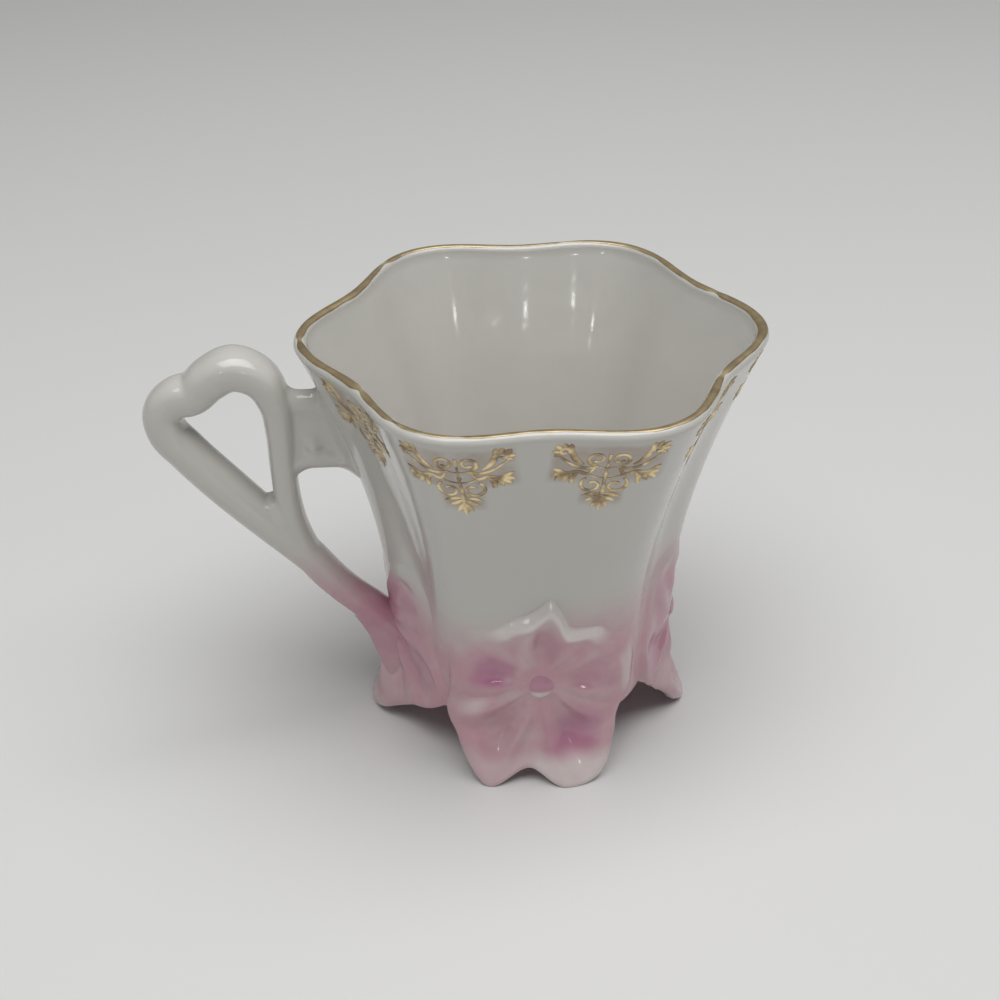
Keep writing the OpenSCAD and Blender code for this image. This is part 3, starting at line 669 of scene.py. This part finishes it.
def bright_gold():
    """Thin gold over glaze: warm metal, darker and duller where a fine noise says that it has worn, as
    far as the value "worn" lets it, and brown along the edge of a line."""
    material = bpy.data.materials.new("bright_gold")
    material.use_nodes = True
    nodes = material.node_tree.nodes
    link = material.node_tree.links.new
    shader = nodes["Principled BSDF"]
    place = nodes.new("ShaderNodeTexCoord")
    wear = nodes.new("ShaderNodeTexNoise")
    wear.inputs["Scale"].default_value = 420
    wear.inputs["Detail"].default_value = 8
    link(place.outputs["Object"], wear.inputs["Vector"])
    tone = nodes.new("ShaderNodeValToRGB")
    tone.color_ramp.elements[0].position = 0.4
    tone.color_ramp.elements[0].color = (0.34, 0.25, 0.15, 1)
    tone.color_ramp.elements[1].position = 0.6
    tone.color_ramp.elements[1].color = (0.92, 0.76, 0.44, 1)
    worn = nodes.new("ShaderNodeAttribute")
    worn.attribute_name = "worn"
    patch = nodes.new("ShaderNodeMix")
    patch.inputs["A"].default_value = 0.46
    link(worn.outputs["Fac"], patch.inputs["Factor"])
    link(wear.outputs["Fac"], patch.inputs["B"])
    link(patch.outputs["Result"], tone.inputs["Fac"])
    edge = nodes.new("ShaderNodeAttribute")
    edge.attribute_name = "edge"
    outline = nodes.new("ShaderNodeMix")
    outline.data_type = "RGBA"
    link(edge.outputs["Fac"], outline.inputs["Factor"])
    link(tone.outputs["Color"], outline.inputs["A"])
    outline.inputs["B"].default_value = (0.19, 0.13, 0.08, 1)
    link(outline.outputs["Result"], shader.inputs["Base Color"])
    dull = nodes.new("ShaderNodeMapRange")
    dull.inputs["To Min"].default_value = 0.55
    dull.inputs["To Max"].default_value = 0.25
    link(patch.outputs["Result"], dull.inputs["Value"])
    link(dull.outputs["Result"], shader.inputs["Roughness"])
    shader.inputs["Metallic"].default_value = 0.8
    return material


gold_film = bright_gold()
finish_piece(gilding, gold_film, "gilding", "lip_gilding")


# Sprays
# Nine scrolled sprays hang under the lip, printed in gold from a transfer and fired on with the lip's
# gilding. Each is a stem with scrolls, two branches with leafy heads to each side and leaves below.
SAMPLES = 32
line_weight = 1.2


def stroke(points, widths):
    """One line of a spray: a smooth curve through its points, with its width read along it."""
    points = np.array(points, float)
    run = np.concatenate([[0], np.cumsum(np.linalg.norm(np.diff(points, axis=0), axis=1))])
    x = np.linspace(0, run[-1], SAMPLES)
    wide = np.interp(np.linspace(0, 1, SAMPLES), np.linspace(0, 1, len(widths)), widths)
    return np.column_stack([curve_through(run, points, x), wide])


def scroll(middle, start, end, outer, inner, widths):
    """A line that curls round a middle from one angle to another while its radius shrinks evenly."""
    t = np.linspace(0, 1, 24)
    a = np.radians(start + (end - start) * t)
    r = outer + (inner - outer) * t
    return stroke(np.column_stack([middle[0] + r * np.cos(a), middle[1] + r * np.sin(a)]), widths)


def leaf(base, way, long, wide, bend=0):
    """A pointed leaf from its base in a direction, which bends to one side along its length."""
    t = np.linspace(0, 1, 6)
    a = math.radians(way) + math.radians(bend) * t
    steps = np.column_stack([np.cos(a), np.sin(a)]) * long / 5
    points = np.array(base) + np.concatenate([[[0, 0]], np.cumsum(steps[:-1], axis=0)])
    return stroke(points, [0.3 * wide, 0.8 * wide, wide, 0.8 * wide, 0.1])


# Lines of one side of a spray and of its middle, in millimetres across and up from its top
BRANCH = [
    scroll((1.5, -1.9), -80, 330, 1.3, 0.45, [0.5, 0.65, 0.6, 0.5, 0.6]),
    stroke([(1.2, -3.3), (2.6, -3.8), (4.2, -3.5), (5.6, -2.6), (7.0, -1.4)],
           [0.4, 0.65, 0.6, 0.5, 0.3]),
    stroke([(3.2, -3.1), (4.3, -2.3), (5.0, -1.1), (5.5, 0.3)], [0.3, 0.9, 1.0, 0.5]),
    scroll((6.3, -0.6), 200, -170, 0.85, 0.25, [0.6, 0.6, 0.5]),
    leaf((5.3, -0.3), 78, 1.4, 1.0), leaf((6.1, 0.0), 70, 1.2, 1.0), leaf((6.7, -0.2), 40, 1.3, 1.0),
    leaf((6.9, -0.7), 4, 1.2, 0.9), leaf((6.7, -1.1), -24, 1.1, 0.8),
    stroke([(1.5, -3.4), (2.5, -5.0), (3.7, -4.6), (5.2, -4.9), (6.9, -4.3)],
           [0.4, 0.6, 0.75, 0.6, 0.3]),
    leaf((5.2, -4.9), -12, 2.3, 1.1, -10), leaf((5.3, -5.1), -40, 2.2, 1.1, -10),
    leaf((5.0, -5.0), -74, 1.9, 1.0, 10), leaf((5.6, -4.8), 18, 1.9, 0.9, 10),
    stroke([(3.7, -4.8), (4.3, -5.6), (4.4, -7.0)], [0.4, 0.9, 0.7]),
    scroll((1.55, -7.2), 55, -325, 1.65, 0.4, [0.45, 0.6, 0.6, 0.5, 0.6]),
    stroke([(0.2, -5.8), (1.2, -5.6), (2.3, -5.1)], [0.25, 0.3, 0.3]),
    stroke([(0.1, -3.7), (0.7, -3.6), (1.4, -3.5)], [0.25, 0.3, 0.3]),
    leaf((0.2, -8.9), -8, 2.5, 0.8, -25), leaf((0.2, -9.3), -42, 2.2, 0.9, 20),
    leaf((0.1, -10.1), -64, 1.9, 0.9, 10),
]
MIDDLE = [
    stroke([(0, -0.9), (0, -1.6), (0, -2.4)], [0.5, 0.5, 0.4]),
    stroke([(0, -2.6), (-0.05, -5.2), (0.05, -7.2), (0.05, -9.8)], [0.3, 0.4, 0.55, 0.8]),
    leaf((0, -5.3), 90, 0.9, 0.7), leaf((0, -9.6), -90, 2.8, 1.1),
]
half = np.array(BRANCH)
spray_lines = np.concatenate([half, half * [-1, 1, 1], np.array(MIDDLE)]) * [1, 1, line_weight]
heading = np.gradient(spray_lines[..., :2], axis=1)
heading /= np.linalg.norm(heading, axis=-1, keepdims=True)
# Section of a line: share of its half width, height off the wall, and how brown it is there
SECTION = np.array([
    (-1, -0.05, 0.9), (-0.6, 0.06, 0.25), (0, 0.09, 0), (0.6, 0.06, 0.25), (1, -0.05, 0.9),
    (0, -0.09, 0.9),
])
across = spray_lines[..., 2:] / 2 * SECTION[:, 0]
spray_u = spray_lines[..., :1] - heading[..., 1:] * across
spray_v = spray_lines[..., 1:2] + heading[..., :1] * across
lines, samples, sides = spray_u.shape
tube = grid_quads(samples, sides, loop_cols=True)[:, ::-1]
first_end = np.arange(sides)[None, :]
last_end = first_end[:, ::-1] + (samples - 1) * sides
each = (np.arange(lines) * samples * sides)[:, None, None]
spray_faces = [(part + each).reshape(-1, part.shape[1]) for part in (tube, first_end, last_end)]
spray_edge = np.tile(SECTION[:, 2], lines * samples)
spray_tints = {"edge": spray_edge, "worn": np.ones_like(spray_edge)}
spray_z = spray_top + spray_v
for k, mid in enumerate(SPRAY_TURNS):
    a = mid + spray_u / mean_radius(spray_z)
    points = polar(skin_radius(a, spray_z) + SECTION[:, 1], a, spray_z).reshape(-1, 3)
    spray = add_piece("spray_%d_gold" % (k + 1), points, spray_faces, spray_tints)
    finish_piece(spray, gold_film, "gilding", "spray_%d" % (k + 1))


# Stage
# Plain pale floor, a broad soft light overhead, two small windows for the highlights on the glaze, and
# a dim surround. The camera stands where the photographer stood. Sizes here are in metres.
half_floor = 3
floor_corners = [(x * half_floor, y * half_floor, 0) for x, y in ((-1, -1), (1, -1), (1, 1), (-1, 1))]
floor_mesh = bpy.data.meshes.new("floor")
floor_mesh.from_pydata(floor_corners, [], [(0, 1, 2, 3)])
floor = bpy.data.objects.new("floor", floor_mesh)
bpy.context.scene.collection.objects.link(floor)
floor_paint = bpy.data.materials.new("floor_paint")
floor_paint.use_nodes = True
floor_shader = floor_paint.node_tree.nodes["Principled BSDF"]
floor_shader.inputs["Base Color"].default_value = (0.75, 0.75, 0.74, 1)
floor_shader.inputs["Roughness"].default_value = 0.5
floor_mesh.materials.append(floor_paint)

world = bpy.data.worlds.new("surround")
bpy.context.scene.world = world
world.use_nodes = True
world.node_tree.nodes["Background"].inputs["Color"].default_value = (1, 1, 1, 1)
world.node_tree.nodes["Background"].inputs["Strength"].default_value = 0.16


CUP_MIDDLE = Vector((0, 0, 0.04))
WINDOW = (0.07, 0.04, 0.06)


def soft_lamp(name, place, wide, tall, power):
    """An area lamp at a place, turned to face the middle of the cup."""
    data = bpy.data.lights.new(name, "AREA")
    data.shape = "RECTANGLE"
    data.size = wide
    data.size_y = tall
    data.energy = power
    data.spread = math.radians(120)
    lamp = bpy.data.objects.new(name, data)
    lamp.location = place
    lamp.rotation_euler = (Vector(place) - CUP_MIDDLE).to_track_quat("Z", "Y").to_euler()
    bpy.context.scene.collection.objects.link(lamp)


soft_lamp("overhead", (0.05, -0.13, 0.82), 1.1, 0.65, 3.6)
soft_lamp("window_left", (-0.42, -1.1, 0.40), *WINDOW)
soft_lamp("window_right", (0.22, -1.15, 0.42), *WINDOW)

# The camera looks past the cup's middle, so that its middle falls at this pixel of the frame. Distances
# are in millimetres again, and the roll is in radians.
PIXELS = 1000
focal = 1800
distance = 289.2
elevation = math.radians(33.344)
azimuth = math.radians(-4.48)
roll = 0.0051
aim_z = 30
aim_pixel = (531.34, 544.78)
forward = np.array([0, math.cos(elevation), -math.sin(elevation)])
right = np.array([1, 0, 0])
up = np.cross(right, forward)
pan = math.atan((aim_pixel[0] - PIXELS / 2) / focal)
tilt = math.atan((aim_pixel[1] - PIXELS / 2) / focal)
panned = forward * math.cos(pan) - right * math.sin(pan)
side = right * math.cos(pan) + forward * math.sin(pan)
look = panned * math.cos(tilt) + up * math.sin(tilt)
top = up * math.cos(tilt) - panned * math.sin(tilt)
axis_x = side * math.cos(roll) + top * math.sin(roll)
axis_y = top * math.cos(roll) - side * math.sin(roll)
stand = Matrix(np.column_stack([axis_x, axis_y, -look]).tolist()).to_4x4()
back = distance * math.cos(elevation)
rise = distance * math.sin(elevation)
stand.translation = Vector((0, -back, aim_z + rise)) * mm
camera_data = bpy.data.cameras.new("camera")
camera_data.sensor_width = 36
camera_data.lens = camera_data.sensor_width * focal / PIXELS
camera = bpy.data.objects.new("camera", camera_data)
camera.matrix_world = Matrix.Rotation(azimuth, 4, "Z") @ stand
bpy.context.scene.collection.objects.link(camera)
bpy.context.scene.camera = camera
bpy.context.scene.view_settings.view_transform = "Standard"
